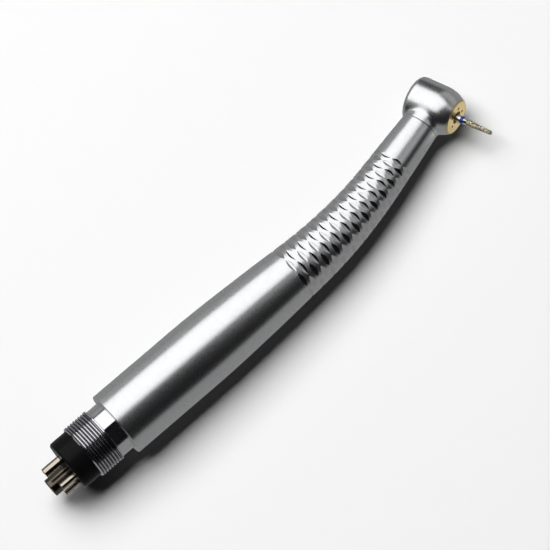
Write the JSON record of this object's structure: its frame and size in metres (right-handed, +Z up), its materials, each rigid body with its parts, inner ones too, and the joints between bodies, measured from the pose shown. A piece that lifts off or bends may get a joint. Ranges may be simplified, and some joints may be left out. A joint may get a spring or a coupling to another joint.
{
  "type": "high speed dental handpiece",
  "caption": "Slim air-driven dental handpiece with a bent dimpled handle, a push-button turbine head with a diamond bur, and a threaded hose end with protruding tubes.",
  "frame": {"origin": "on the handle's axis at the open end of the hose thread", "axes": "+X along the handle towards the head, sloping down 1.3 degrees because the thick end and the head both rest on the table; the bend turns towards +Y and the bur points towards -Y; +Z up from the table"},
  "size_m": [0.1225, 0.0223, 0.0157],
  "materials": {
    "satin_steel": "satin chrome, bead blasted, with bright-cut dimples on the grip",
    "chrome": "polished chrome",
    "black_plastic": "black moulded plastic",
    "tube_metal": "polished nickel with a warm tint",
    "pipe_steel": "drawn steel",
    "manifold_brass": "turned brass",
    "spray_brass": "gold-coloured, fine turned",
    "cap_steel": "satin chrome",
    "spring_steel": "spring steel",
    "rubber": "black rubber",
    "bearing_steel": "ground and polished steel",
    "cage_resin": "bearing cage resin",
    "turbine_steel": "fine turned steel",
    "bur_steel": "ground bright steel",
    "band_blue": "blue enamel ring",
    "diamond_grit": "medium diamond grit bonded in nickel"
  },
  "bodies": {
    "handpiece": {"handle_shell": "satin_steel", "rear_connector": "chrome", "connector_o_ring": "rubber", "tube_holder": "black_plastic", "exhaust_tube": "tube_metal", "drive_air_tube": "tube_metal", "water_tube": "tube_metal", "chip_air_tube": "tube_metal", "drive_air_pipe": "pipe_steel", "water_pipe": "pipe_steel", "chip_air_pipe": "pipe_steel", "neck_manifold": "manifold_brass", "head_shell": "satin_steel", "spray_plate": "spray_brass", "head_cap": "cap_steel", "button_spring": "spring_steel", "preload_washer": "spring_steel", "front_o_ring": "rubber", "rear_o_ring": "rubber", "front_bearing_outer_ring": "bearing_steel", "rear_bearing_outer_ring": "bearing_steel"},
    "rotor": {"spindle": "turbine_steel", "chuck": "turbine_steel", "impeller": "turbine_steel", "front_bearing_inner_ring": "bearing_steel", "rear_bearing_inner_ring": "bearing_steel"},
    "front_balls": {"front_bearing_cage": "cage_resin", "front_bearing_balls": "bearing_steel"},
    "rear_balls": {"rear_bearing_cage": "cage_resin", "rear_bearing_balls": "bearing_steel"},
    "button": {"push_button": "cap_steel"},
    "bur": {"bur_shank": "bur_steel", "bur_band": "band_blue", "bur_diamond": "diamond_grit"}
  },
  "joints": [
    {"name": "turbine_spin", "type": "hinge", "parent": "handpiece", "child": "rotor", "pos_m": [0.10697, 0.00732, -0.00245], "axis": [0.3205, -0.9472, -0.0073], "continuous": true},
    {"name": "front_cage_spin", "type": "hinge", "parent": "handpiece", "child": "front_balls", "pos_m": [0.1078, 0.00487, -0.00247], "axis": [0.3205, -0.9472, -0.0073], "continuous": true},
    {"name": "rear_cage_spin", "type": "hinge", "parent": "handpiece", "child": "rear_balls", "pos_m": [0.10615, 0.00975, -0.00243], "axis": [0.3205, -0.9472, -0.0073], "continuous": true},
    {"name": "button_press", "type": "slide", "parent": "handpiece", "child": "button", "axis": [0.3205, -0.9472, -0.0073], "range_m": [0, 0.0005], "stiffness_N_per_m": 4000, "springref_m": -0.0005, "deforming": ["button_spring"]},
    {"name": "bur_pull", "type": "slide", "parent": "rotor", "child": "bur", "axis": [0.3205, -0.9472, -0.0073], "range_m": [0, 0.008]}
  ],
  "couplings": [
    {"joint": "front_cage_spin", "follows": "turbine_spin", "ratio": 0.4},
    {"joint": "rear_cage_spin", "follows": "turbine_spin", "ratio": 0.4}
  ]
}
